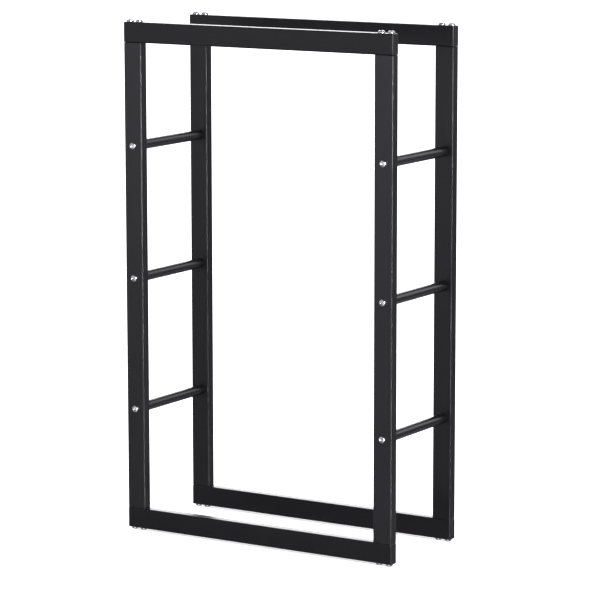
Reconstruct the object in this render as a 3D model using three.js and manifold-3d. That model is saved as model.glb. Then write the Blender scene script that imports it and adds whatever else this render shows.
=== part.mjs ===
// A firewood log rack: two upright frames of flat steel tube, held apart by six round crossbars.
// Millimetres, +Z up. X runs along the rails and Y from the front frame to the rear one.
// The origin is on the floor, under the middle of the rack. Logs lie along Y on the two bottom rails.
import * as THREE from "three";
import { mergeVertices } from "three/addons/utils/BufferGeometryUtils.js";
import Module from "manifold-3d";

const wasm = await Module();
wasm.setup();

// The frames
const rackWidth = 600; // over the end caps
const rackDepth = 250; // over the outer faces of the two frames
const frameHeight = 1000; // from the underside of a bottom rail to the top of a top rail
const tubeFace = 40; // wide side of the flat tube
const tubeDepth = 20; // narrow side, across the rack
const tubeWall = 1.2;
const tubeCorner = 2.5; // outer radius of the tube's long edges

// The crossbars, three at each end of the rack
const barDiameter = 20;
const barWall = 1.2;
const barPitch = 260; // from one crossbar up to the next, with the middle one at half height
const plugLength = 20; // threaded plug welded into each end of a crossbar

// The button-head screws, M8 with a hexagon socket
const threadDiameter = 8;
const headDiameter = 14;
const headHeight = 4.4;
const headRim = 1; // straight edge below the dome
const headFlat = 8.4; // diameter of the flat on top of the dome
const socketFlats = 5;
const socketDepth = 2.6;
const tipChamfer = 1;
const threadReach = 15; // how far a screw goes into its nut or plug
const screwInset = 9.5; // from the side of an upright to the axis of the nearer rail screw

// The nut plates, one welded into each end of an upright
const plateThickness = 3;
const nutFlats = 13;
const nutHeight = 6.5;

// The plastic end caps of the rails
const capFlange = 2;
const capWall = 1.4;
const capTongue = 12; // how far the two tongues reach into the rail
const capTongueWidth = 26;

// Clearances
const seatGap = 0.2; // the coats of paint between two pieces that are screwed together
const fitGap = 0.3; // all round a piece that sits inside a tube
const threadGap = 0.35; // between a screw's thread and the one it turns in
const holeGap = 0.5; // between a screw and the hole that it passes through

const roundSides = 12; // of screws and their holes
const barSides = 20;
const cornerSteps = 2;

// Places worked out from the sizes above
const standOff = headHeight + seatGap; // the rack stands on the heads of its lower screws
const holeRadius = threadDiameter / 2 + holeGap;
const tappedRadius = threadDiameter / 2 + threadGap;
const innerFace = tubeFace - 2 * tubeWall;
const innerDepth = tubeDepth - 2 * tubeWall;
const innerCorner = tubeCorner - tubeWall;
const uprightX = rackWidth / 2 - tubeFace / 2;
const frameY = rackDepth / 2 - tubeDepth / 2;
const middleZ = standOff + frameHeight / 2;
const railZ = frameHeight / 2 - tubeFace / 2; // above and below the middle
const railLength = rackWidth - 2 * (capFlange + seatGap);
const uprightLength = frameHeight - 2 * tubeFace - 2 * seatGap;
const barLength = rackDepth - 2 * tubeDepth - 2 * seatGap;
const screwOffset = tubeFace / 2 - screwInset; // rail screws, each side of an upright's centre line
const capSkirt = screwInset - holeRadius - holeGap - capFlange; // ends short of the outer screw
const barHeights = { lower: -barPitch, middle: 0, upper: barPitch }; // from the middle of the rack

const powderCoat = new THREE.MeshStandardMaterial({ color: 0x2e2d31, roughness: 0.5, metalness: 0 });
const zincPlate = new THREE.MeshStandardMaterial({ color: 0xd9dadb, roughness: 0.25, metalness: 1 });
const blackPlastic = new THREE.MeshStandardMaterial({ color: 0x242426, roughness: 0.55, metalness: 0 });
const bareSteel = new THREE.MeshStandardMaterial({ color: 0x8c8e91, roughness: 0.4, metalness: 1 });

const rack = new THREE.Group();

// Solids ------------------------------------------------------------------------------------

function toSolid(geometry) {
  const bare = geometry.clone();
  bare.deleteAttribute("normal");
  bare.deleteAttribute("uv");
  const merged = mergeVertices(bare, 1e-4);
  return new wasm.Manifold(
    new wasm.Mesh({
      numProp: 3,
      vertProperties: new Float32Array(merged.attributes.position.array),
      triVerts: new Uint32Array(merged.index.array),
    }),
  );
}

function toGeometry(solid) {
  const mesh = solid.getMesh();
  const geometry = new THREE.BufferGeometry();
  geometry.setAttribute("position", new THREE.BufferAttribute(new Float32Array(mesh.vertProperties), 3));
  geometry.setIndex(new THREE.BufferAttribute(new Uint32Array(mesh.triVerts), 1));
  geometry.computeVertexNormals();
  return geometry;
}

function drill(geometry, cutters) {
  return toGeometry(cutters.reduce((left, cutter) => left.subtract(toSolid(cutter)), toSolid(geometry)));
}

function join(pieces) {
  return toGeometry(pieces.map(toSolid).reduce((whole, piece) => whole.add(piece)));
}

// A rectangle with round corners, centred on the origin.
function roundedRect(width, height, radius, Path = THREE.Shape) {
  const x = width / 2 - radius;
  const y = height / 2 - radius;
  const quarter = Math.PI / 2;
  const outline = new Path();
  outline.absarc(x, y, radius, 0, quarter);
  outline.absarc(-x, y, radius, quarter, 2 * quarter);
  outline.absarc(-x, -y, radius, 2 * quarter, 3 * quarter);
  outline.absarc(x, -y, radius, 3 * quarter, 4 * quarter);
  outline.closePath();
  return outline;
}

// An outline made solid from z = 0 up to length.
function extrude(shape, length) {
  return new THREE.ExtrudeGeometry(shape, { depth: length, bevelEnabled: false, curveSegments: cornerSteps });
}

function ring(width, height, radius, wall) {
  const shape = roundedRect(width, height, radius);
  shape.holes.push(roundedRect(width - 2 * wall, height - 2 * wall, radius - wall, THREE.Path));
  return shape;
}

// A round rod along Z, centred on the origin.
function rod(radius, length, sides = roundSides) {
  return new THREE.CylinderGeometry(radius, radius, length, sides).rotateX(Math.PI / 2);
}

// A profile of (radius, z) points turned about Z.
function turned(profile, sides) {
  const points = profile.map(([radius, z]) => new THREE.Vector2(radius, z));
  return new THREE.LatheGeometry(points, sides).rotateX(Math.PI / 2);
}

// Pieces ------------------------------------------------------------------------------------

// A flat tube along Z, centred on the origin, with its wide side along X.
function flatTube(length) {
  return extrude(ring(tubeFace, tubeDepth, tubeCorner, tubeWall), length).translate(0, 0, -length / 2);
}

// A rail lies along X with its wide side upright. Two screws pass down through each end.
function railGeometry() {
  const tube = flatTube(railLength).rotateY(Math.PI / 2);
  const holes = [-1, 1].flatMap((end) =>
    [-1, 1].map((side) =>
      rod(holeRadius, 2 * tubeFace).translate(end * uprightX + side * screwOffset, 0, 0),
    ),
  );
  return drill(tube, holes);
}

// An upright has one hole through its front and back walls for each crossbar.
function uprightGeometry() {
  const holes = Object.values(barHeights).map((z) =>
    rod(holeRadius, 2 * tubeDepth).rotateX(Math.PI / 2).translate(0, 0, z),
  );
  return drill(flatTube(uprightLength), holes);
}

// A crossbar is a round tube with a tapped plug welded into each end, bored right through.
function crossbarGeometry() {
  const outer = barDiameter / 2;
  const inner = outer - barWall;
  const end = barLength / 2;
  const plug = end - plugLength;
  const profile = [
    [tappedRadius, -end],
    [outer, -end],
    [outer, end],
    [tappedRadius, end],
    [tappedRadius, plug],
    [inner, plug],
    [inner, -plug],
    [tappedRadius, -plug],
    [tappedRadius, -end],
  ];
  return turned(profile, barSides);
}

// A screw's head sits on z = 0 and its shank points down.
function screwGeometry(length) {
  const shank = threadDiameter / 2;
  const head = headDiameter / 2;
  const flat = headFlat / 2;
  const dome = [1 / 2, 1].map((share) => {
    const angle = (share * Math.PI) / 2;
    const radius = flat + (head - flat) * Math.cos(angle);
    return [radius, headRim + (headHeight - headRim) * Math.sin(angle)];
  });
  const profile = [
    [0, -length],
    [shank - tipChamfer, -length],
    [shank, tipChamfer - length],
    [shank, 0],
    [head, 0],
    [head, headRim],
    ...dome,
    [0, headHeight],
  ];
  const socket = rod(socketFlats / Math.sqrt(3), 2 * socketDepth, 6).translate(0, 0, headHeight);
  return drill(turned(profile, roundSides), [socket]);
}

// A nut plate fills the mouth of an upright, with its outer face on z = 0 and its nuts below.
function nutPlateGeometry() {
  const outline = roundedRect(innerFace - 2 * fitGap, innerDepth - 2 * fitGap, innerCorner);
  const plate = extrude(outline, plateThickness).translate(0, 0, -plateThickness);
  const sides = [-1, 1];
  const nuts = sides.map((side) =>
    rod(nutFlats / Math.sqrt(3), nutHeight + plateThickness / 2, 6)
      .rotateZ(Math.PI / 2)
      .translate(side * screwOffset, 0, -(nutHeight + 1.5 * plateThickness) / 2),
  );
  const bores = sides.map((side) =>
    rod(tappedRadius, 4 * (nutHeight + plateThickness)).translate(side * screwOffset, 0, 0),
  );
  return drill(join([plate, ...nuts]), bores);
}

// An end cap faces +Z: a flange with the tube's own outline, a low skirt and two long tongues.
function endCapGeometry() {
  const flange = extrude(roundedRect(tubeFace, tubeDepth, tubeCorner), capFlange);
  const skirtWidth = innerFace - 2 * fitGap;
  const skirtDepth = innerDepth - 2 * fitGap;
  const root = capFlange / 2; // the skirt and tongues start inside the flange
  const skirt = extrude(ring(skirtWidth, skirtDepth, innerCorner + capWall / 2, capWall), capSkirt + root);
  skirt.translate(0, 0, -capSkirt);
  const tongues = [-1, 1].map((side) =>
    new THREE.BoxGeometry(capTongueWidth, capWall, capTongue + root).translate(
      0,
      (side * (skirtDepth - capWall)) / 2,
      (root - capTongue) / 2,
    ),
  );
  return join([flange, skirt, ...tongues]);
}

// Assembly ----------------------------------------------------------------------------------

function place(name, geometry, material, position, rotation = [0, 0, 0]) {
  const mesh = new THREE.Mesh(geometry, material);
  mesh.name = name;
  mesh.position.set(...position);
  mesh.rotation.set(...rotation);
  rack.add(mesh);
}

const frames = { front: -1, rear: 1 };
const ends = { left: -1, right: 1 };
const levels = { bottom: -1, top: 1 };

const rail = railGeometry();
const upright = uprightGeometry();
const crossbar = crossbarGeometry();
const railScrew = screwGeometry(tubeFace + threadReach);
const barScrew = screwGeometry(tubeDepth + threadReach);
const nutPlate = nutPlateGeometry();
const endCap = endCapGeometry();
const quarterTurn = Math.PI / 2;

for (const [frame, ySide] of Object.entries(frames)) {
  const y = ySide * frameY;

  for (const [level, zSide] of Object.entries(levels)) {
    const z = middleZ + zSide * railZ;
    place(`${frame}_${level}_rail`, rail, powderCoat, [0, y, z]);

    for (const [end, xSide] of Object.entries(ends)) {
      const x = xSide * uprightX;
      const corner = `${frame}_${level}_${end}`;
      const capX = xSide * (rackWidth / 2 - capFlange);
      place(`${corner}_end_cap`, endCap, blackPlastic, [capX, y, z], [0, xSide * quarterTurn, 0]);

      const flip = zSide > 0 ? 0 : Math.PI; // the lower screws and plates point the other way
      const plateZ = middleZ + (zSide * uprightLength) / 2;
      place(`${corner}_nut_plate`, nutPlate, bareSteel, [x, y, plateZ], [flip, 0, 0]);

      const seatZ = middleZ + zSide * (frameHeight / 2 + seatGap);
      for (const [spot, side] of Object.entries({ outer: xSide, inner: -xSide })) {
        const screwX = x + side * screwOffset;
        place(`${corner}_${spot}_screw`, railScrew, zincPlate, [screwX, y, seatZ], [flip, 0, 0]);
      }
    }
  }

  for (const [end, xSide] of Object.entries(ends)) {
    const x = xSide * uprightX;
    place(`${frame}_${end}_upright`, upright, powderCoat, [x, y, middleZ]);

    const seatY = ySide * (rackDepth / 2 + seatGap);
    for (const [level, height] of Object.entries(barHeights)) {
      const z = middleZ + height;
      place(
        `${frame}_${end}_${level}_crossbar_screw`,
        barScrew,
        zincPlate,
        [x, seatY, z],
        [-ySide * quarterTurn, 0, 0],
      );
    }
  }
}

for (const [end, xSide] of Object.entries(ends)) {
  for (const [level, height] of Object.entries(barHeights)) {
    const position = [xSide * uprightX, 0, middleZ + height];
    place(`${end}_${level}_crossbar`, crossbar, powderCoat, position, [quarterTurn, 0, 0]);
  }
}

export default rack;
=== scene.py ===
# Firewood log rack: two frames of flat steel tube, six round crossbars, and the screws,
# end caps and nut plates that go with them. The dictionaries of the rack's pieces hold
# millimetres and meshes hold metres.
import bpy
import bmesh
import math
from mathutils import Matrix, Vector


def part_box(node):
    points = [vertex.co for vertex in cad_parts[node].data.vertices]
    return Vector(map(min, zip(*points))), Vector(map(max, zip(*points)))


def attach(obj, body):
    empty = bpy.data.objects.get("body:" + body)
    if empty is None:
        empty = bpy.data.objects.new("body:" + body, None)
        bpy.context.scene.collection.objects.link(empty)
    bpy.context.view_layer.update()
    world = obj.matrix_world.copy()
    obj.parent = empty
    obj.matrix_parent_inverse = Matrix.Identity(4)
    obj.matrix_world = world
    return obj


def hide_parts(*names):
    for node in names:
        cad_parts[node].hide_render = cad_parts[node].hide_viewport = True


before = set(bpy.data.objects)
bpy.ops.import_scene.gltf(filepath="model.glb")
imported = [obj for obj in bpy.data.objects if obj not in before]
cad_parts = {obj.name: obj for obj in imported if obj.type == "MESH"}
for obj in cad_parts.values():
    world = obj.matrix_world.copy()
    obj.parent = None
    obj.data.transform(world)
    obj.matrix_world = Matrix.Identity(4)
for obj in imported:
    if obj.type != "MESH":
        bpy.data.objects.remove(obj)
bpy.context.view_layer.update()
mm = 0.001
rackNames = list(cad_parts)
print("rack loaded:", len(rackNames), "nodes")


# helpers for the meshes, with sizes in millimetres

def roundedOutline(width, height, radius, steps):
    # points of a rectangle with round corners, counterclockwise, centred on 0, 0
    points = []
    for corner, (sx, sy) in enumerate([(1, 1), (-1, 1), (-1, -1), (1, -1)]):
        cx, cy = sx * (width / 2 - radius), sy * (height / 2 - radius)
        for step in range(steps + 1):
            angle = math.radians(90 * (corner + step / steps))
            points.append((cx + radius * math.cos(angle), cy + radius * math.sin(angle)))
    return points


def circleOutline(radius, sides, start=0.0):
    return [(radius * math.cos(start + 2 * math.pi * i / sides),
             radius * math.sin(start + 2 * math.pi * i / sides)) for i in range(sides)]


def edgeRound(corner, towards, radius, steps):
    # quarter arc that rounds a square corner of a profile; towards gives the two ways out of it
    (ax, ay), (bx, by) = towards
    points = []
    for step in range(steps + 1):
        angle = math.radians(90 * step / steps)
        along, across = 1 - math.sin(angle), 1 - math.cos(angle)
        points.append((corner[0] + radius * (ax * along + bx * across),
                       corner[1] + radius * (ay * along + by * across)))
    return points


def ringAt(outline, z):
    # an outline lifted to a height
    return [(x, y, z) for x, y in outline]


def skinRings(rings, loop=False):
    # quads between neighbouring rings of points; a ring of one point is a pole
    bm = bmesh.new()
    made = [[bm.verts.new(Vector(p) * mm) for p in ring] for ring in rings]
    pairs = list(zip(made, made[1:]))
    if loop:
        pairs.append((made[-1], made[0]))
    for low, high in pairs:
        count = max(len(low), len(high))
        for i in range(count):
            j = (i + 1) % count
            if len(low) == 1:
                bm.faces.new((low[0], high[j], high[i]))
            elif len(high) == 1:
                bm.faces.new((low[i], low[j], high[0]))
            else:
                bm.faces.new((low[i], low[j], high[j], high[i]))
    if not loop:
        for ring, flip in ((made[0], True), (made[-1], False)):
            if len(ring) > 1:
                bm.faces.new(list(reversed(ring)) if flip else ring)
    bmesh.ops.recalc_face_normals(bm, faces=bm.faces)
    return bm


def lathe(profile, sides):
    # profile of (radius, z) turned about z
    return [ringAt(circleOutline(radius, sides), z) if radius else [(0, 0, z)] for radius, z in profile]


def prism(outline, low, high):
    return skinRings([ringAt(outline, low), ringAt(outline, high)])


def toMesh(bm, name, matrix=None):
    mesh = bpy.data.meshes.new(name)
    if matrix is not None:
        bm.transform(matrix)
    bm.to_mesh(mesh)
    bm.free()
    return mesh


def bakeModifiers(piece):
    # the piece's mesh with its modifiers worked in
    shape = piece.evaluated_get(bpy.context.evaluated_depsgraph_get())
    mesh = bpy.data.meshes.new_from_object(shape)
    mesh.name = piece.data.name
    piece.modifiers.clear()
    return mesh


def combine(base, others, operation):
    # base with the other solids cut away from it (DIFFERENCE) or added to it (UNION)
    body = bpy.data.objects.new("workBody", base)
    bpy.context.collection.objects.link(body)
    tools = []
    for number, other in enumerate(others):
        tool = bpy.data.objects.new(f"workTool{number}", other)
        bpy.context.collection.objects.link(tool)
        change = body.modifiers.new("combine", "BOOLEAN")
        change.operation = operation
        change.solver = "EXACT"
        change.object = tool
        tools.append(tool)
    mesh = bakeModifiers(body)
    for item in [body, *tools]:
        bpy.data.objects.remove(item)
    return mesh


def softenEdges(mesh, width, angle):
    # rounds the edges that are sharper than the angle
    body = bpy.data.objects.new("workEdge", mesh)
    bpy.context.collection.objects.link(body)
    bevel = body.modifiers.new("edge", "BEVEL")
    bevel.width = width * mm
    bevel.segments = 2
    bevel.limit_method = "ANGLE"
    bevel.angle_limit = math.radians(angle)
    bevel.miter_outer = "MITER_ARC"
    result = bakeModifiers(body)
    bpy.data.objects.remove(body)
    return result


def smoothShade(mesh, angle):
    # smooth shading, with edges sharper than the angle left crisp
    for face in mesh.polygons:
        face.use_smooth = True
    mesh.set_sharp_from_angle(angle=math.radians(angle))
    return mesh


def addPiece(name, mesh, material, node, place=None):
    piece = bpy.data.objects.new(name, mesh)
    bpy.context.collection.objects.link(piece)
    if place is not None:
        piece.matrix_world = place
    if not piece.data.materials:    # a mesh that several pieces share gets its material once
        piece.data.materials.append(material)
    flats = piece.modifiers.new("flatFaces", "WEIGHTED_NORMAL")
    flats.keep_sharp = True
    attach(piece, "root")
    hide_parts(node)


def nodeMiddle(node):
    low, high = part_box(node)
    return (Vector(low) + Vector(high)) / 2


# helpers for the materials

def linearColour(hexColour):
    # sRGB hex to linear values with full alpha
    parts = [int(hexColour[i:i + 2], 16) / 255 for i in (1, 3, 5)]
    return [c / 12.92 if c <= 0.04045 else ((c + 0.055) / 1.055) ** 2.4 for c in parts] + [1.0]


def addNode(tree, kind, settings=None, links=None):
    # one node with its settings and its incoming links
    node = tree.nodes.new(kind)
    for key, value in (settings or {}).items():
        if isinstance(key, int) or key in node.inputs:
            node.inputs[key].default_value = value
        else:
            setattr(node, key, value)
    for key, source in (links or {}).items():
        tree.links.new(source, node.inputs[key])
    return node


def startMaterial(name):
    material = bpy.data.materials.new(name)
    material.use_nodes = True
    material.node_tree.nodes.clear()
    return material, material.node_tree


powderValues = {
    "dark": "#09090b",
    "light": "#0e0d10",
    "cloud": 70.0,          # soft patches in the shade of the coat
    "peel": 3.2,            # orange peel; the real one is about 1 mm, drawn coarser so that it shows
    "peelDepth": 0.032,
    "grit": 0.9,            # grain of the baked powder
    "gritDepth": 0.016,
    "smoothest": 0.28,
    "roughest": 0.37,
}


def powderCoatedSteel(name, specular):
    # sprayed and baked polyester powder on steel: near black and satin, with a fine pebbled skin;
    # the specular is 0.5 for the fully lit copy, and a lower one makes a darker copy of the same coat:
    # painted shade
    v = powderValues
    material, tree = startMaterial(name)
    where = addNode(tree, "ShaderNodeTexCoord").outputs["Object"]
    cloud = addNode(tree, "ShaderNodeTexNoise",
                    {"Scale": 1000 / v["cloud"], "Detail": 3.0, "Roughness": 0.55}, {"Vector": where})
    shade = addNode(tree, "ShaderNodeMix", {"data_type": "RGBA", 6: linearColour(v["dark"]),
                                            7: linearColour(v["light"])}, {0: cloud.outputs["Fac"]})
    peel = addNode(tree, "ShaderNodeTexNoise",
                   {"Scale": 1000 / v["peel"], "Detail": 1.5, "Roughness": 0.4}, {"Vector": where})
    grit = addNode(tree, "ShaderNodeTexNoise",
                   {"Scale": 1000 / v["grit"], "Detail": 4.0, "Roughness": 0.65}, {"Vector": where})
    polish = addNode(tree, "ShaderNodeMapRange",
                     {"From Min": 0.35, "From Max": 0.65, "To Min": v["smoothest"], "To Max": v["roughest"]},
                     {"Value": peel.outputs["Fac"]})
    peelBump = addNode(tree, "ShaderNodeBump", {"Strength": 1.0, "Distance": v["peelDepth"] * mm},
                       {"Height": peel.outputs["Fac"]})
    gritBump = addNode(tree, "ShaderNodeBump", {"Strength": 1.0, "Distance": v["gritDepth"] * mm},
                       {"Height": grit.outputs["Fac"], "Normal": peelBump.outputs["Normal"]})
    coat = addNode(tree, "ShaderNodeBsdfPrincipled",
                   {"IOR": 1.5, "Specular IOR Level": specular, "Metallic": 0.0},
                   {"Base Color": shade.outputs[2], "Roughness": polish.outputs["Result"],
                    "Normal": gritBump.outputs["Normal"]})
    addNode(tree, "ShaderNodeOutputMaterial", None, {"Surface": coat.outputs["BSDF"]})
    return material


zincValues = {
    "cool": "#c8cdd2",
    "warm": "#cfcdc7",
    "patch": 3.0,           # clouding of the clear passivation
    "ringPitch": 0.45,      # marks of the heading die; really 0.1 mm, drawn coarser so that they show
    "ringDepth": 0.006,
    "smoothest": 0.16,
    "roughest": 0.30,
}


def zincPlatedSteel():
    # cold-headed steel with bright zinc plate and a clear passivation: silvery, with a faint blue cast
    v = zincValues
    material, tree = startMaterial("zincPlatedSteel")
    where = addNode(tree, "ShaderNodeTexCoord").outputs["Object"]
    patch = addNode(tree, "ShaderNodeTexNoise",
                    {"Scale": 1000 / v["patch"], "Detail": 2.5, "Roughness": 0.6}, {"Vector": where})
    shade = addNode(tree, "ShaderNodeMix", {"data_type": "RGBA", 6: linearColour(v["cool"]),
                                            7: linearColour(v["warm"])}, {0: patch.outputs["Fac"]})
    polish = addNode(tree, "ShaderNodeMapRange",
                     {"From Min": 0.3, "From Max": 0.7, "To Min": v["smoothest"], "To Max": v["roughest"]},
                     {"Value": patch.outputs["Fac"]})
    # a band of the wave repeats every pi/10 divided by its scale
    rings = addNode(tree, "ShaderNodeTexWave",
                    {"wave_type": "RINGS", "rings_direction": "Z", "Distortion": 0.6, "Detail": 1.0,
                     "Scale": math.pi / 10 / (v["ringPitch"] * mm)}, {"Vector": where})
    ringBump = addNode(tree, "ShaderNodeBump", {"Strength": 1.0, "Distance": v["ringDepth"] * mm},
                       {"Height": rings.outputs["Fac"]})
    plate = addNode(tree, "ShaderNodeBsdfPrincipled", {"Metallic": 1.0},
                    {"Base Color": shade.outputs[2], "Roughness": polish.outputs["Result"],
                     "Normal": ringBump.outputs["Normal"]})
    addNode(tree, "ShaderNodeOutputMaterial", None, {"Surface": plate.outputs["BSDF"]})
    return material


plasticValues = {
    "dark": "#0a0a0c",
    "light": "#0f0e11",
    "spark": 0.7,           # eroded mould texture; really about 0.2 mm, drawn coarser so that it shows
    "sparkDepth": 0.02,
    "flow": 14.0,           # slow change of shade from the moulding
    "roughness": 0.31,
    "specular": 0.42,
}


def mouldedPolyethylene():
    # injection-moulded polyethylene from a spark-eroded mould: black, dull, finely grained
    v = plasticValues
    material, tree = startMaterial("mouldedPolyethylene")
    where = addNode(tree, "ShaderNodeTexCoord").outputs["Object"]
    flow = addNode(tree, "ShaderNodeTexNoise",
                   {"Scale": 1000 / v["flow"], "Detail": 2.0, "Distortion": 0.8}, {"Vector": where})
    shade = addNode(tree, "ShaderNodeMix", {"data_type": "RGBA", 6: linearColour(v["dark"]),
                                            7: linearColour(v["light"])}, {0: flow.outputs["Fac"]})
    spark = addNode(tree, "ShaderNodeTexNoise",
                    {"Scale": 1000 / v["spark"], "Detail": 3.0, "Roughness": 0.6}, {"Vector": where})
    sparkBump = addNode(tree, "ShaderNodeBump", {"Strength": 1.0, "Distance": v["sparkDepth"] * mm},
                        {"Height": spark.outputs["Fac"]})
    skin = addNode(tree, "ShaderNodeBsdfPrincipled",
                   {"IOR": 1.51, "Specular IOR Level": v["specular"], "Roughness": v["roughness"]},
                   {"Base Color": shade.outputs[2], "Normal": sparkBump.outputs["Normal"]})
    addNode(tree, "ShaderNodeOutputMaterial", None, {"Surface": skin.outputs["BSDF"]})
    return material


millValues = {
    "grey": "#7d8085",
    "blue": "#5d6066",
    "scale": 5.0,           # patches of mill scale
    "grain": 0.8,
    "grainDepth": 0.015,
    "smoothest": 0.34,
    "roughest": 0.58,
}


def hotRolledSteel():
    # hot-rolled plate as it comes from the mill: blue-grey scale in patches, half dull
    v = millValues
    material, tree = startMaterial("hotRolledSteel")
    where = addNode(tree, "ShaderNodeTexCoord").outputs["Object"]
    patch = addNode(tree, "ShaderNodeTexNoise",
                    {"Scale": 1000 / v["scale"], "Detail": 4.0, "Roughness": 0.6}, {"Vector": where})
    shade = addNode(tree, "ShaderNodeMix", {"data_type": "RGBA", 6: linearColour(v["grey"]),
                                            7: linearColour(v["blue"])}, {0: patch.outputs["Fac"]})
    polish = addNode(tree, "ShaderNodeMapRange",
                     {"From Min": 0.3, "From Max": 0.7, "To Min": v["smoothest"], "To Max": v["roughest"]},
                     {"Value": patch.outputs["Fac"]})
    grain = addNode(tree, "ShaderNodeTexNoise",
                    {"Scale": 1000 / v["grain"], "Detail": 3.0}, {"Vector": where})
    grainBump = addNode(tree, "ShaderNodeBump", {"Strength": 1.0, "Distance": v["grainDepth"] * mm},
                        {"Height": grain.outputs["Fac"]})
    skin = addNode(tree, "ShaderNodeBsdfPrincipled", {"Metallic": 1.0},
                   {"Base Color": shade.outputs[2], "Roughness": polish.outputs["Result"],
                    "Normal": grainBump.outputs["Normal"]})
    addNode(tree, "ShaderNodeOutputMaterial", None, {"Surface": skin.outputs["BSDF"]})
    return material


# one coat in lit and shaded copies: the lower specular on the rails and the rear frame is painted shade that
# makes them darker than the front uprights, standing in for less light falling on them
litAndShadedCoats = {
    "front_upright": powderCoatedSteel("powderCoatedFrontUprights", 0.50),
    "front_rail": powderCoatedSteel("powderCoatedFrontRails", 0.29),
    "rear_upright": powderCoatedSteel("powderCoatedRearUprights", 0.35),
    "rear_rail": powderCoatedSteel("powderCoatedRearRails", 0.27),
    "crossbar": powderCoatedSteel("powderCoatedCrossbars", 0.45),
}
screwMaterial = zincPlatedSteel()
capMaterial = mouldedPolyethylene()
plateMaterial = hotRolledSteel()
print("finishes made")


# rails and uprights, of flat tube that is welded along one side
flatTubeValues = {
    "face": 40.0,
    "depth": 20.0,
    "wall": 1.2,
    "corner": 2.5,          # outside radius of the long edges
    "leastCorner": 0.4,     # their radius inside is never less than this
    "cornerSteps": 7,
    "endRound": 0.35,       # the coat rounds the sawn ends off
    "endSteps": 3,
    "bead": 0.5,            # height of the weld bead inside
    "beadWidth": 2.4,
    "beadShoulder": 0.8,    # share of its height that the bead has half way out
    "beadStart": 0.6,       # share of the wall's thickness where it starts to rise
    "hole": 9.0,
    "holeSides": 40,
    "holeRound": 0.22,
    "drillReach": 60.0,     # the drilling pin goes this far each way
}


def tubeRing(inset, z):
    # one ring of the tube's section, so far in from its outside, with five points for the weld bead
    v = flatTubeValues
    radius = max(v["corner"] - inset, v["leastCorner"])
    points = roundedOutline(v["face"] - 2 * inset, v["depth"] - 2 * inset, radius, v["cornerSteps"])
    y = points[v["cornerSteps"]][1]
    rise = (inset - v["wall"] * v["beadStart"]) / (v["wall"] * (1 - v["beadStart"]))
    lift = v["bead"] * max(0.0, min(1.0, rise))
    half, shoulder = v["beadWidth"] / 2, lift * v["beadShoulder"]
    bead = [(half, y), (half / 2, y - shoulder), (0, y - lift), (-half / 2, y - shoulder), (-half, y)]
    cut = v["cornerSteps"] + 1
    return ringAt(points[:cut] + bead + points[cut:], z)


def flatTube(length):
    # lies along z, with its middle at 0
    v = flatTubeValues
    wall, half = v["wall"], length / 2
    edges = [((0, -half), ((1, 0), (0, 1))), ((0, half), ((0, -1), (1, 0))),
             ((wall, half), ((-1, 0), (0, -1))), ((wall, -half), ((0, 1), (-1, 0)))]
    profile = []
    for corner, towards in edges:
        profile += edgeRound(corner, towards, v["endRound"], v["endSteps"])
    return skinRings([tubeRing(inset, z) for inset, z in profile], loop=True)


def holePin(matrix):
    v = flatTubeValues
    pin = prism(circleOutline(v["hole"] / 2, v["holeSides"]), -v["drillReach"], v["drillReach"])
    return toMesh(pin, "holePin", matrix)


def drilledTube(name, length, turn, middle, holes):
    # a flat tube turned and moved into place, with a hole through both its walls at each pin
    matrix = Matrix.Translation(middle) @ turn
    mesh = toMesh(flatTube(length), name, matrix)
    mesh = combine(mesh, [holePin(Matrix.Translation(middle) @ hole) for hole in holes], "DIFFERENCE")
    mesh = softenEdges(mesh, flatTubeValues["holeRound"], 50)
    return smoothShade(mesh, 30)


layX = Matrix.Rotation(math.radians(90), 4, "Y")
layY = Matrix.Rotation(math.radians(90), 4, "X")
# from an upright's centre line to each of its two rail screws
outerScrew, screwedUpright = nodeMiddle("front_top_right_outer_screw"), nodeMiddle("front_right_upright")
railScrewOffset = abs(outerScrew.x - screwedUpright.x) / mm

for frameSide in ("front", "rear"):
    for level in ("bottom", "top"):
        node = f"{frameSide}_{level}_rail"
        low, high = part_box(node)
        middle = nodeMiddle(node)
        screws = [n for n in rackNames if n.startswith(f"{frameSide}_{level}_") and n.endswith("_screw")]
        holes = [Matrix.Translation(Vector((nodeMiddle(n).x - middle.x, 0, 0))) for n in screws]
        mesh = drilledTube(node, (high[0] - low[0]) / mm, layX, middle, holes)
        addPiece(f"{node}_tube", mesh, litAndShadedCoats[f"{frameSide}_rail"], node)
    for end in ("left", "right"):
        node = f"{frameSide}_{end}_upright"
        low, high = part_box(node)
        middle = nodeMiddle(node)
        holes = []
        for level in ("lower", "middle", "upper"):
            barZ = nodeMiddle(f"{end}_{level}_crossbar").z
            holes.append(Matrix.Translation(Vector((0, 0, barZ - middle.z))) @ layY)
        mesh = drilledTube(node, (high[2] - low[2]) / mm, Matrix.Identity(4), middle, holes)
        addPiece(f"{node}_tube", mesh, litAndShadedCoats[f"{frameSide}_upright"], node)
print("rails and uprights made")


# crossbars, of round tube with a threaded plug in each end
crossbarValues = {
    "diameter": 20.0,
    "wall": 1.2,
    "endRound": 0.5,
    "endSteps": 4,
    "insideEdge": 0.12,     # small bevel on the tube's inside edge
    "plug": 20.0,           # length of the threaded plug in each end
    "plugRecess": 0.25,     # the plug sits just inside the tube's end
    "bore": 8.7,
    "countersink": 0.8,
    "boreEdge": 0.4,        # bevel at the inner end of the bore
    "seam": 0.35,           # groove where the plug's edge meets the tube
    "sides": 56,
}


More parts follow.
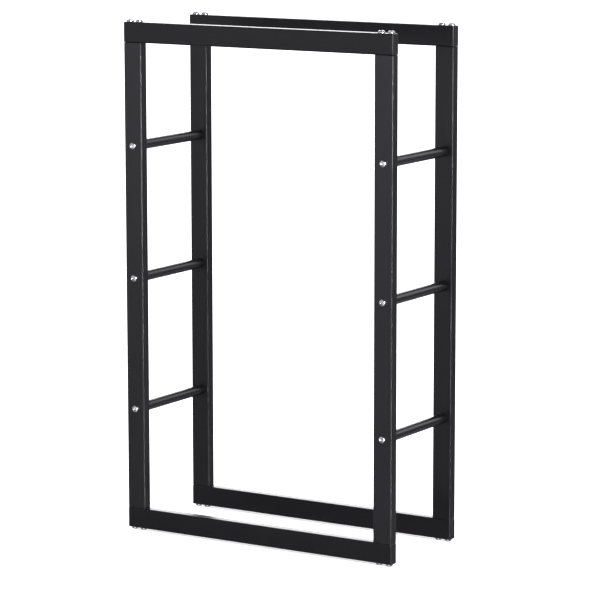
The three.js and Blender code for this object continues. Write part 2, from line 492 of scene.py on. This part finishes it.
def crossbar(length):
    v = crossbarValues
    outer, half = v["diameter"] / 2, length / 2
    inner, bore = outer - v["wall"], v["bore"] / 2
    face, plugEnd = half - v["plugRecess"], half - v["plug"]
    oneEnd = edgeRound((outer, half), ((0, -1), (-1, 0)), v["endRound"], v["endSteps"])
    oneEnd += [(inner + v["insideEdge"], half), (inner, half - v["insideEdge"]), (inner, face - v["seam"])]
    oneEnd += [(inner - v["seam"], face), (bore + v["countersink"], face), (bore, face - v["countersink"])]
    oneEnd += [(bore, plugEnd + v["boreEdge"]), (bore + v["boreEdge"], plugEnd), (inner, plugEnd)]
    otherEnd = [(radius, -z) for radius, z in oneEnd]
    # start inside, behind one plug, go out over that end, along the outside and back in over the other
    return skinRings(lathe(oneEnd[::-1] + otherEnd, v["sides"]), loop=True)


for end in ("left", "right"):
    for level in ("lower", "middle", "upper"):
        node = f"{end}_{level}_crossbar"
        low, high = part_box(node)
        matrix = Matrix.Translation(nodeMiddle(node)) @ layY
        mesh = toMesh(crossbar((high[1] - low[1]) / mm), node, matrix)
        addPiece(f"{node}_tube", smoothShade(mesh, 30), litAndShadedCoats["crossbar"], node)
print("crossbars made")


# button-head screws with a hexagon socket
screwValues = {
    "railScrewLength": 55.0,
    "barScrewLength": 35.0,
    "head": 14.0,
    "height": 4.4,
    "rim": 0.9,
    "rimRound": 0.3,
    "flat": 7.6,            # the small flat round the socket
    "domeSteps": 10,
    "sides": 56,
    "socket": 5.0,          # across flats
    "socketDepth": 2.6,
    "socketCone": 0.7,      # the drill leaves a cone below the hexagon
    "socketMouth": 6.3,     # countersink at the mouth
    "mouthDepth": 0.8,
    "shank": 8.0,
    "neck": 0.5,            # the shank starts to thin this far below the head
    "intoHead": 0.6,        # and ends this far inside it, with its radius less by the next value
    "thinner": 0.05,
    "point": 1.0,           # the tip's radius is this much less than the shank's
    "pointHeight": 0.9,
    "pointTurns": 0.8,      # turns of thread over which the tip widens
    "pitch": 1.25,
    "threadDepth": 0.68,
    "threadLength": 22.0,
    "runOutTurns": 1.5,     # turns over which the thread fades towards the head
    "flankSlope": 1.35,
    "crest": 0.15,          # share of the thread's depth taken off to leave flat crests
    "stepsPerTurn": 8,
    "threadSides": 24,
}


def threadRing(z, fade):
    # one ring of the thread: its radius follows the helix, and fade runs it out
    v = screwValues
    points = []
    for i in range(v["threadSides"]):
        share = i / v["threadSides"]
        phase = (z / v["pitch"] - share) % 1.0
        cut = min(1.0, max(0.0, v["flankSlope"] * (1 - abs(2 * phase - 1)) - v["crest"]))
        radius = v["shank"] / 2 - v["threadDepth"] * cut * fade
        angle = 2 * math.pi * share
        points.append((radius * math.cos(angle), radius * math.sin(angle), z))
    return points


def screwHead():
    # stands on z = 0
    v = screwValues
    head, flat, height, rim = v["head"] / 2, v["flat"] / 2, v["height"], v["rim"]
    profile = [(0, 0)]
    profile += edgeRound((head, 0), ((-1, 0), (0, 1)), v["rimRound"], 3)
    # the dome is an arc of a circle that meets the rim and the flat
    rise, run = height - rim, head - flat
    dome = (run * run + rise * rise) / (2 * run)
    for step in range(v["domeSteps"] + 1):
        angle = math.asin(rise / dome) * step / v["domeSteps"]
        profile.append((head - dome + dome * math.cos(angle), rim + dome * math.sin(angle)))
    profile.append((0, height))
    body = toMesh(skinRings(lathe(profile, v["sides"])), "screwHead")
    hexagon = circleOutline(v["socket"] / math.sqrt(3), 6)
    bottom = height - v["socketDepth"]
    # both cutters go on past the top of the head
    past = 0.5
    rings = [[(0, 0, bottom - v["socketCone"])], ringAt(hexagon, bottom), ringAt(hexagon, height + 2 * past)]
    socket = toMesh(skinRings(rings), "socket")
    mouth, low = v["socketMouth"] / 2, height - v["mouthDepth"]
    cone = [(0, low), (mouth - v["mouthDepth"], low), (mouth + past, height + past), (0, height + past)]
    countersink = toMesh(skinRings(lathe(cone, v["sides"])), "countersink")
    return combine(body, [socket, countersink], "DIFFERENCE")


def turnedCopy(mesh, degrees):
    copy = mesh.copy()
    copy.transform(Matrix.Rotation(math.radians(degrees), 4, "Z"))
    return copy


def screw(name, length):
    # a thread from the tip up, a plain shank and the head, with the head's underside on z = 0
    v = screwValues
    sides = v["threadSides"]
    shank, step = v["shank"] / 2, v["pitch"] / v["stepsPerTurn"]
    tip = shank - v["point"]
    count = int(v["threadLength"] / step)
    rings = [[(0, 0, -length)], ringAt(circleOutline(tip, sides), -length)]
    for number in range(count):
        z = -length + v["pointHeight"] + number * step
        fade = min(1.0, (count - number) / (v["runOutTurns"] * v["stepsPerTurn"]))
        widest = tip + v["point"] * min(1.0, number / (v["pointTurns"] * v["stepsPerTurn"]))
        ring = []
        for x, y, z in threadRing(z, fade):
            trim = min(1, widest / math.hypot(x, y))
            ring.append((x * trim, y * trim, z))
        rings.append(ring)
    rings.append(ringAt(circleOutline(shank, sides), -v["neck"]))
    rings.append(ringAt(circleOutline(shank - v["thinner"], sides), v["intoHead"]))
    body = toMesh(skinRings(rings), "shank")
    mesh = combine(screwHead(), [body], "UNION")
    mesh.name = name
    return smoothShade(mesh, 34)


# no two neighbouring screws stop at the same angle
stops = [0, 17, 41, 28, 52, 9, 35]
railScrew = screw("railScrew", screwValues["railScrewLength"])
barScrew = screw("crossbarScrew", screwValues["barScrewLength"])
railScrews = [turnedCopy(railScrew, stop) for stop in stops]
barScrews = [turnedCopy(barScrew, stop) for stop in stops]

for number, node in enumerate(sorted(n for n in rackNames if n.endswith("_screw"))):
    low, high = (Vector(corner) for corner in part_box(node))
    middle = (low + high) / 2
    lift = screwValues["height"] * mm
    if "crossbar" in node:
        outward = -1 if node.startswith("front") else 1
        seat = Vector((middle.x, low.y + lift if outward < 0 else high.y - lift, middle.z))
        turn = Matrix.Rotation(math.radians(-90 * outward), 4, "X")
        mesh = barScrews[number % len(stops)]
    else:
        outward = 1 if "_top_" in node else -1
        seat = Vector((middle.x, middle.y, high.z - lift if outward > 0 else low.z + lift))
        turn = Matrix.Rotation(math.radians(90 - 90 * outward), 4, "X")
        mesh = railScrews[number % len(stops)]
    addPiece(f"{node}_m8", mesh, screwMaterial, node, Matrix.Translation(seat) @ turn)
print("screws made")


# end caps of the rails
endCapValues = {
    "flange": 2.0,          # the plate that closes the rail
    "flangeRound": 1.7,
    "flangeSteps": 6,
    "backRound": 0.2,
    "backSteps": 2,
    "cornerSteps": 8,
    "skirt": 1.9,           # the collar that fits inside the tube
    "skirtWall": 1.4,
    "skirtCorner": 2.0,
    "skirtInsideCorner": 0.8,
    "fit": 0.3,
    "root": 0.8,            # the skirt and the tongues start this far inside the flange
    "tongue": 12.0,
    "tongueWidth": 26.0,
    "tongueEase": 0.05,     # a tongue stays this far inside the skirt's outer face
    "tipHeight": 0.8,
    "tipInside": 0.3,
    "tipOutside": 0.5,
    "firstBarb": 1.2,       # up from the tip
    "barb": 0.2,
    "barbPitch": 3.2,
    "barbPeak": 0.55,       # shares of the pitch where a barb is highest and where it ends
    "barbEnd": 0.7,
}


def tongueProfile(inner, outer):
    # a tongue of (y, z) points that tapers to its tip and carries low barbs on its outer face
    v = endCapValues
    tip, pitch, flank = -v["tongue"], v["barbPitch"], outer - v["tongueEase"]
    profile = [(inner, v["root"]), (inner, tip + v["tipHeight"]), (inner + v["tipInside"], tip),
               (outer - v["tipOutside"], tip)]
    z = tip + v["firstBarb"]
    while z < -v["skirt"] - pitch * 0.5:
        profile += [(flank, z), (outer + v["barb"], z + pitch * v["barbPeak"]),
                    (flank, z + pitch * v["barbEnd"])]
        z += pitch
    return profile + [(flank, -v["skirt"]), (flank, v["root"])]


def endCapMesh():
    # faces +z, with the flange's back on z = 0
    v, tube = endCapValues, flatTubeValues
    edge = edgeRound((0, 0), ((1, 0), (0, 1)), v["backRound"], v["backSteps"])
    edge += edgeRound((0, v["flange"]), ((0, -1), (1, 0)), v["flangeRound"], v["flangeSteps"])
    rings = []
    for inset, z in edge:
        outline = roundedOutline(tube["face"] - 2 * inset, tube["depth"] - 2 * inset,
                                 tube["corner"] - inset, v["cornerSteps"])
        rings.append(ringAt(outline, z))
    flange = toMesh(skinRings(rings), "flange")
    width = tube["face"] - 2 * (tube["wall"] + v["fit"])
    depth = tube["depth"] - 2 * (tube["wall"] + v["fit"])
    skirtOut = roundedOutline(width, depth, v["skirtCorner"], v["cornerSteps"])
    skirtIn = roundedOutline(width - 2 * v["skirtWall"], depth - 2 * v["skirtWall"],
                             v["skirtInsideCorner"], v["cornerSteps"])
    rings = [ringAt(skirtOut, v["root"]), ringAt(skirtOut, -v["skirt"]),
             ringAt(skirtIn, -v["skirt"]), ringAt(skirtIn, v["root"])]
    skirt = toMesh(skinRings(rings, loop=True), "skirt")
    profile = tongueProfile(depth / 2 - v["skirtWall"], depth / 2)
    half = v["tongueWidth"] / 2
    tongues = []
    for side in (-1, 1):
        rings = [[(x, side * y, z) for y, z in profile] for x in (-half, half)]
        tongues.append(toMesh(skinRings(rings), "tongue"))
    mesh = combine(flange, [skirt, *tongues], "UNION")
    mesh.name = "railEndCap"
    return smoothShade(mesh, 32)


capMesh = endCapMesh()
for node in sorted(n for n in rackNames if n.endswith("_end_cap")):
    low, high = (Vector(corner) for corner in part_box(node))
    middle = (low + high) / 2
    flange = endCapValues["flange"] * mm
    outward = -1 if "_left_" in node else 1
    back = Vector((low.x + flange if outward < 0 else high.x - flange, middle.y, middle.z))
    place = Matrix.Translation(back) @ Matrix.Rotation(math.radians(90 * outward), 4, "Y")
    addPiece(f"{node}_moulding", capMesh, capMaterial, node, place)
print("end caps made")


# nut plates in the ends of the uprights, with two nuts welded under each
nutPlateValues = {
    "thickness": 3.0,
    "corner": 1.3,
    "cornerSteps": 5,
    "edgeRound": 0.2,
    "nut": 13.0,            # across flats
    "nutHeight": 6.5,
    "nutSunk": 1.0,         # the nut's solid goes this far into the plate's
    "bore": 8.7,
    "boreBevel": 0.6,
    "fit": 0.3,
    "weld": 1.2,            # leg of the weld round each nut
    "weldInside": 1.0,      # its ring starts this far inside the nut's flats
    "weldSunk": 0.5,        # and this far inside the plate
    "weldCrown": 0.5,       # this far out from the flats, its height is down to the next share
    "weldSlope": 0.75,
    "sides": 40,
}


def nutPlateMesh():
    # outer face on z = 0, with the nuts below
    v, tube = nutPlateValues, flatTubeValues
    under, flats = -v["thickness"], v["nut"] / 2
    bottom, bore = under - v["nutHeight"], v["bore"] / 2
    width = tube["face"] - 2 * (tube["wall"] + v["fit"])
    depth = tube["depth"] - 2 * (tube["wall"] + v["fit"])
    plate = toMesh(prism(roundedOutline(width, depth, v["corner"], v["cornerSteps"]), under, 0), "plate")
    hexagon = circleOutline(v["nut"] / math.sqrt(3), 6, math.radians(30))
    # ring of weld where the nut meets the plate
    inside, sunk = flats - v["weldInside"], under + v["weldSunk"]
    weld = [(inside, sunk), (inside, under - v["weld"]),
            (flats + v["weldCrown"], under - v["weld"] * v["weldSlope"]), (flats + v["weld"], sunk)]
    # the drill bevels both ends of the bore at 45 degrees and goes on past them
    past, bevel = 1, v["boreBevel"]
    wide = bore + (bevel + past)
    drill = [(0, bottom - past), (wide, bottom - past), (bore, bottom + bevel),
             (bore, -bevel), (wide, past), (0, past)]
    solids, bores = [], []
    for side in (-1, 1):
        shift = Matrix.Translation(Vector((side * railScrewOffset * mm, 0, 0)))
        solids.append(toMesh(prism(hexagon, bottom, under + v["nutSunk"]), "nut", shift))
        solids.append(toMesh(skinRings(lathe(weld, v["sides"]), loop=True), "weld", shift))
        bores.append(toMesh(skinRings(lathe(drill, v["sides"])), "bore", shift))
    mesh = combine(combine(plate, solids, "UNION"), bores, "DIFFERENCE")
    mesh = softenEdges(mesh, v["edgeRound"], 45)
    mesh.name = "nutPlate"
    return smoothShade(mesh, 32)


nutPlate = nutPlateMesh()
for node in sorted(n for n in rackNames if n.endswith("_nut_plate")):
    low, high = (Vector(corner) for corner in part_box(node))
    middle = (low + high) / 2
    outward = 1 if "_top_" in node else -1
    face = Vector((middle.x, middle.y, high.z if outward > 0 else low.z))
    turn = Matrix.Identity(4) if outward > 0 else Matrix.Rotation(math.pi, 4, "X")
    addPiece(f"{node}_welded", nutPlate, plateMaterial, node, Matrix.Translation(face) @ turn)
print("nut plates made")


# studio: white paper floor, white surroundings, soft panels and the camera
studioValues = {
    "floor": "#f2f2f2",
    "floorReach": 30.0,     # metres from the middle to each edge
    "floorGlow": 0.5,       # the paper lies on a light table
    "white": 1.8,           # brightness of the surroundings that light the floor, so that it comes out white
    # what gloss sees round the rack: a dim room, brighter above the horizon, with a few soft lit walls
    "ceiling": "#efecf8",
    "ceilingStrength": 0.42,
    "ground": "#efecf8",
    "groundStrength": 0.19,
    "horizonLow": -0.27,
    "horizonHigh": -0.04,
}

# each dark screen: azimuth from +x and height in degrees, the angles from its middle where it
# starts to fade and where it ends, and the share of the light that it lets through
darkScreens = {
    "backLeft": (121.0, -14.0, 6.0, 26.0, 0.1),     # keeps the left edges crisp
    "backRight": (61.0, 0.0, 5.0, 20.0, 0.1),       # keeps the side faces darker than the front ones
    "frontLeft": (-121.0, -26.0, 7.0, 20.0, 0.1),   # lets the faces fall off towards the floor
    "above": (0.0, 90.0, 20.0, 60.0, 0.3),          # dims what the screw heads mirror of the ceiling
}

# each lit wall: azimuth and height, brightness, the same two angles, and its tint
litWalls = {
    "backLeft": (121.0, 16.0, 5.2, 5.0, 16.0, "#ffffff"),       # runs along the tops of the rails
    "frontLeft": (-100.0, -4.0, 0.75, 2.0, 31.0, "#e8e4f9"),    # lies on the front faces
    "right": (-31.5, 8.0, 140.0, 2.0, 10.0, "#ffffff"),         # draws the lines down the long edges
    "backRight": (36.0, -26.0, 0.50, 5.0, 29.0, "#e8e4f9"),     # these three light the faces seen from behind
    "back": (92.0, -24.0, 0.75, 5.0, 24.0, "#e8e4f9"),
    "left": (180.0, -14.0, 0.45, 5.0, 28.0, "#e8e4f9"),
    "below": (0.0, -90.0, 0.30, 20.0, 64.0, "#f1eef6"),         # the floor, as seen in the faces from high up
    "backTop": (67.0, 24.0, 1.5, 5.0, 18.0, "#ffffff"),         # lies along the crossbars
    "frontRight": (-68.0, -30.0, 1.8, 8.0, 27.0, "#ffffff"),    # lights the screw heads from below
}

floorMesh = bpy.data.meshes.new("paperFloor")
reach = studioValues["floorReach"]
floorMesh.from_pydata([(-reach, -reach, 0), (reach, -reach, 0), (reach, reach, 0), (-reach, reach, 0)],
                      [], [(0, 1, 2, 3)])
floor = bpy.data.objects.new("paperFloor", floorMesh)
bpy.context.collection.objects.link(floor)
floor.visible_glossy = False    # the coat mirrors the room, not the bright paper
floorMaterial, floorTree = startMaterial("mattWhitePaper")
paper = addNode(floorTree, "ShaderNodeBsdfPrincipled",
                {"Base Color": linearColour(studioValues["floor"]), "Roughness": 0.9,
                 "Specular IOR Level": 0.1, "Emission Color": linearColour("#ffffff"),
                 "Emission Strength": studioValues["floorGlow"]})
addNode(floorTree, "ShaderNodeOutputMaterial", None, {"Surface": paper.outputs["BSDF"]})
floorMesh.materials.append(floorMaterial)

world = bpy.data.worlds.new("whiteStudio")
world.use_nodes = True
sky = world.node_tree
sky.nodes.clear()
rays = addNode(sky, "ShaderNodeLightPath")
around = addNode(sky, "ShaderNodeTexCoord").outputs["Generated"]
ground = [c * studioValues["groundStrength"] for c in linearColour(studioValues["ground"])]
ceiling = [c * studioValues["ceilingStrength"] for c in linearColour(studioValues["ceiling"])]
upward = addNode(sky, "ShaderNodeSeparateXYZ", None, {0: around}).outputs["Z"]
level = addNode(sky, "ShaderNodeMapRange",
                {"interpolation_type": "SMOOTHSTEP", "From Min": studioValues["horizonLow"],
                 "From Max": studioValues["horizonHigh"]}, {"Value": upward})
tint = addNode(sky, "ShaderNodeMix", {"data_type": "RGBA", 6: ground, 7: ceiling},
               {0: level.outputs["Result"]})


def skySpot(azimuth, height, inner, outer, away, within):
    # a value over the whole sky: one within the spot, which fades to the other away from it
    towards = Vector((1, 0, 0))
    towards.rotate(Matrix.Rotation(math.radians(azimuth), 3, "Z")
                   @ Matrix.Rotation(-math.radians(height), 3, "Y"))
    facing = addNode(sky, "ShaderNodeVectorMath", {"operation": "DOT_PRODUCT", 1: towards}, {0: around})
    return addNode(sky, "ShaderNodeMapRange",
                   {"interpolation_type": "SMOOTHSTEP", "From Min": math.cos(math.radians(outer)),
                    "From Max": math.cos(math.radians(inner)), "To Min": away, "To Max": within},
                   {"Value": facing.outputs["Value"]}).outputs["Result"]


shade = None
for azimuth, height, inner, outer, through in darkScreens.values():
    screen = skySpot(azimuth, height, inner, outer, 1.0, through)
    if shade is None:
        shade = screen
    else:
        both = addNode(sky, "ShaderNodeMath", {"operation": "MULTIPLY"}, {0: shade, 1: screen})
        shade = both.outputs["Value"]
room = addNode(sky, "ShaderNodeBackground", None, {"Color": tint.outputs[2], "Strength": shade})
mirrored = room.outputs["Background"]
for azimuth, height, strength, inner, outer, colour in litWalls.values():
    spot = skySpot(azimuth, height, inner, outer, 0.0, strength)
    wall = addNode(sky, "ShaderNodeBackground", {"Color": linearColour(colour)}, {"Strength": spot})
    both = addNode(sky, "ShaderNodeAddShader", None, {0: mirrored, 1: wall.outputs["Background"]})
    mirrored = both.outputs["Shader"]
white = addNode(sky, "ShaderNodeBackground",
                {"Color": linearColour("#ffffff"), "Strength": studioValues["white"]})
# gloss mirrors the dim room, and everything else is lit by plain white
either = addNode(sky, "ShaderNodeMixShader", None,
                 {0: rays.outputs["Is Glossy Ray"], 1: white.outputs["Background"], 2: mirrored})
addNode(sky, "ShaderNodeOutputWorld", None, {"Surface": either.outputs["Shader"]})
bpy.context.scene.world = world


# each soft panel, in metres: its place, what it points at, its width and height, brightness, tint
panels = {
    "rightPanel": ((3.1, -1.9, 1.4), (0, 0, 0.9), (1.5, 2.2), 4.0, "#ffffff"),
    "frontPanel": ((-1.7, -2.8, 1.35), (0, 0, 0.8), (2.4, 2.3), 0.3, "#f1eef6"),
    "rearPanel": ((1.8, 3.0, 1.5), (0, 0, 0.7), (1.2, 2.0), 0.3, "#ffffff"),
}


def addPanel(name, place, target, size, brightness, colour):
    # a soft flat light whose face has the given brightness, white being 1
    light = bpy.data.lights.new(name, "AREA")
    light.shape = "RECTANGLE"
    light.size, light.size_y = size
    light.energy = brightness * 4 * size[0] * size[1]    # the renderer spreads watts over 4 times the area
    light.color = linearColour(colour)[:3]
    lamp = bpy.data.objects.new(name, light)
    bpy.context.collection.objects.link(lamp)
    lamp.location = place
    lamp.rotation_mode = "QUATERNION"
    lamp.rotation_quaternion = (Vector(target) - Vector(place)).to_track_quat("-Z", "Y")


for name, (place, target, size, brightness, colour) in panels.items():
    addPanel(name, place, target, size, brightness, colour)

cameraValues = {
    "place": (3072.1, -4967.7, 1438.9),
    "yaw": 31.543,          # degrees, turned to the left of straight back
    "pitch": 9.439,         # degrees, looking down
    "roll": -0.058,
    "lens": 182.87,
    "sensor": 36.0,
    "nearest": 0.1,         # metres
    "farthest": 60.0,
}

cameraData = bpy.data.cameras.new("productCamera")
cameraData.sensor_width = cameraValues["sensor"]
cameraData.lens = cameraValues["lens"]
cameraData.clip_start, cameraData.clip_end = cameraValues["nearest"], cameraValues["farthest"]
camera = bpy.data.objects.new("productCamera", cameraData)
bpy.context.collection.objects.link(camera)
yaw, pitch, roll = (math.radians(cameraValues[turn]) for turn in ("yaw", "pitch", "roll"))
camera.matrix_world = (Matrix.Translation(Vector(cameraValues["place"]) * mm)
                       @ Matrix.Rotation(yaw, 4, "Z")
                       @ Matrix.Rotation(math.pi / 2 - pitch, 4, "X")
                       @ Matrix.Rotation(roll, 4, "Z"))
bpy.context.scene.camera = camera
bpy.context.scene.view_settings.view_transform = "Standard"
print("studio set")
